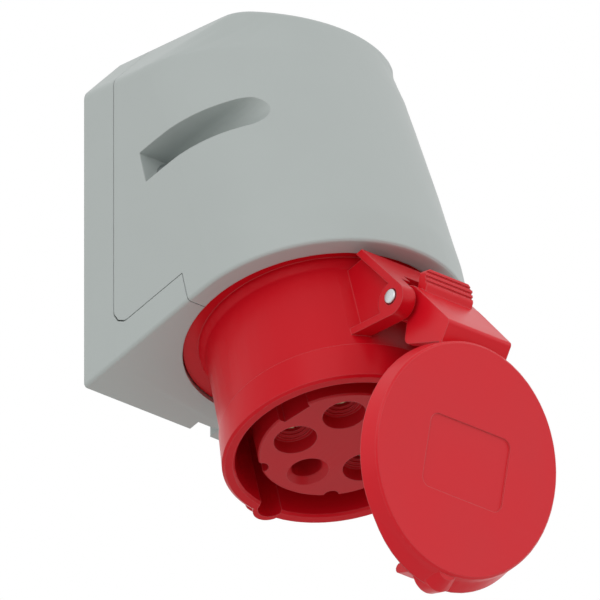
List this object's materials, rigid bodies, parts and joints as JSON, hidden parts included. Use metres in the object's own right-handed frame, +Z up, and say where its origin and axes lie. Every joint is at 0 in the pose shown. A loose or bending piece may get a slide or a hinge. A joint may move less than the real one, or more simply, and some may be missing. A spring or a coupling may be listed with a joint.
{
  "type": "industrial wall socket",
  "caption": "Surface-mounted industrial wall socket with a grey hood, a red angled socket housing and a sprung hinged lid.",
  "frame": {"origin": "on the wall face, on the centre line, 52 mm above the box's bottom rear edge", "axes": "+Y into the wall, +X to the right seen from the front, +Z up"},
  "size_m": [0.094, 0.1261, 0.2024],
  "materials": {
    "grey_polyamide": "moulded, fine satin grain",
    "red_polyamide": "moulded, satin gloss",
    "carrier_red": "moulded, satin",
    "black_rubber": "moulded rubber",
    "black_plate": "moulded",
    "nickel_brass": "nickel-plated",
    "zinc_steel": "zinc-plated"
  },
  "bodies": {
    "housing": {"back_box": "grey_polyamide", "hood": "grey_polyamide", "hood_screw_left": "zinc_steel", "hood_screw_right": "zinc_steel", "entry_grommet": "black_rubber", "socket_housing": "red_polyamide", "flange_seal": "black_rubber", "contact_carrier": "carrier_red", "contact_earth": "nickel_brass", "contact_line_1": "nickel_brass", "contact_line_2": "nickel_brass", "contact_line_3": "nickel_brass", "contact_neutral": "nickel_brass", "terminal_screw_earth": "zinc_steel", "terminal_screw_line_1": "zinc_steel", "terminal_screw_line_2": "zinc_steel", "terminal_screw_line_3": "zinc_steel", "terminal_screw_neutral": "zinc_steel", "contact_retainer": "black_plate", "retainer_screw": "zinc_steel", "carrier_screw_left": "zinc_steel", "carrier_screw_right": "zinc_steel", "hinge_pin": "zinc_steel", "lid_spring": "zinc_steel"},
    "lid": {"lid": "red_polyamide", "lid_gasket": "black_rubber"}
  },
  "joints": [
    {"name": "lid_hinge", "type": "hinge", "parent": "housing", "child": "lid", "pos_m": [0, -0.10598, -0.05074], "axis": [-1, 0, 0], "range_deg": [-62.8, 30.5], "stiffness_Nm_per_rad": 0.2, "springref_deg": -103.13}
  ]
}
